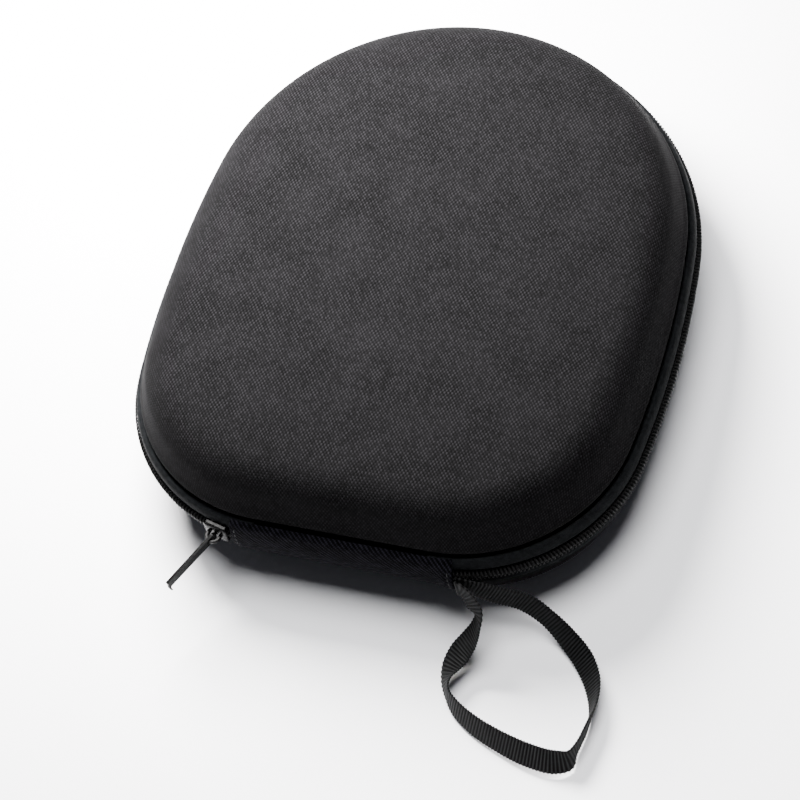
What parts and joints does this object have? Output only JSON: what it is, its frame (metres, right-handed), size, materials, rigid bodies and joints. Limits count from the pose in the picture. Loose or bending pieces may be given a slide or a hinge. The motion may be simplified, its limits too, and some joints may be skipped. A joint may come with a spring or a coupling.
{
  "type": "headphone carrying case",
  "caption": "Hard-shell headphone case with a domed zipped lid, fabric hinge strip, zip slider with a slim pull tab, and a webbing wrist strap.",
  "frame": {"origin": "centre of the base's flat resting face", "axes": "+Z out of the lid, +Y from the fabric hinge to the domed end, +X to the case's right-hand side, where the strap is sewn"},
  "size_m": [0.2012, 0.2849, 0.0666],
  "materials": {
    "nylon": "coarse plain-weave ballistic nylon, matte",
    "foam": "pressed EVA foam, matte",
    "lining": "short-pile tricot lining, matte",
    "zip_tape": "fine woven polyester tape, slight sheen",
    "zip_coil": "nylon monofilament coil, satin",
    "binding": "ribbed binding tape, matte",
    "hinge_webbing": "fine twill webbing, bluish black",
    "slider_metal": "black lacquered zinc, gloss",
    "strap_webbing": "ribbed nylon webbing, matte",
    "pocket_net": "knitted polyester net, matte"
  },
  "bodies": {
    "base": {"base_cover": "nylon", "base_shell": "foam", "base_lining": "lining", "base_zip_tape": "zip_tape", "base_zip_coil": "zip_coil", "base_binding": "binding", "hinge_strip": "hinge_webbing", "hinge_liner": "lining", "wrist_strap": "strap_webbing"},
    "lid": {"lid_cover": "nylon", "lid_shell": "foam", "lid_lining": "lining", "lid_zip_tape": "zip_tape", "lid_zip_coil": "zip_coil", "lid_binding": "binding", "lid_pocket_net": "pocket_net", "lid_pocket_elastic": "binding"},
    "slider": {"slider_body": "slider_metal", "slider_back_plate": "slider_metal", "slider_bail": "slider_metal"},
    "tab": {"pull_tab": "slider_metal"}
  },
  "joints": [
    {"name": "lid_hinge", "type": "hinge", "parent": "base", "child": "lid", "pos_m": [0, -0.11598, 0.0362], "axis": [1, 0, 0], "range_deg": [0, 110], "deforming": ["hinge_strip", "hinge_liner"]},
    {"name": "slider_travel", "type": "hinge", "parent": "base", "child": "slider", "pos_m": [-0.0333, -0.04998, 0.0318], "axis": [0, 0, -1], "range_deg": [0, 62]},
    {"name": "tab_swing", "type": "hinge", "parent": "slider", "child": "tab", "pos_m": [-0.04952, -0.11601, 0.0318], "axis": [0, 0, -1], "range_deg": [-85, 58]}
  ]
}
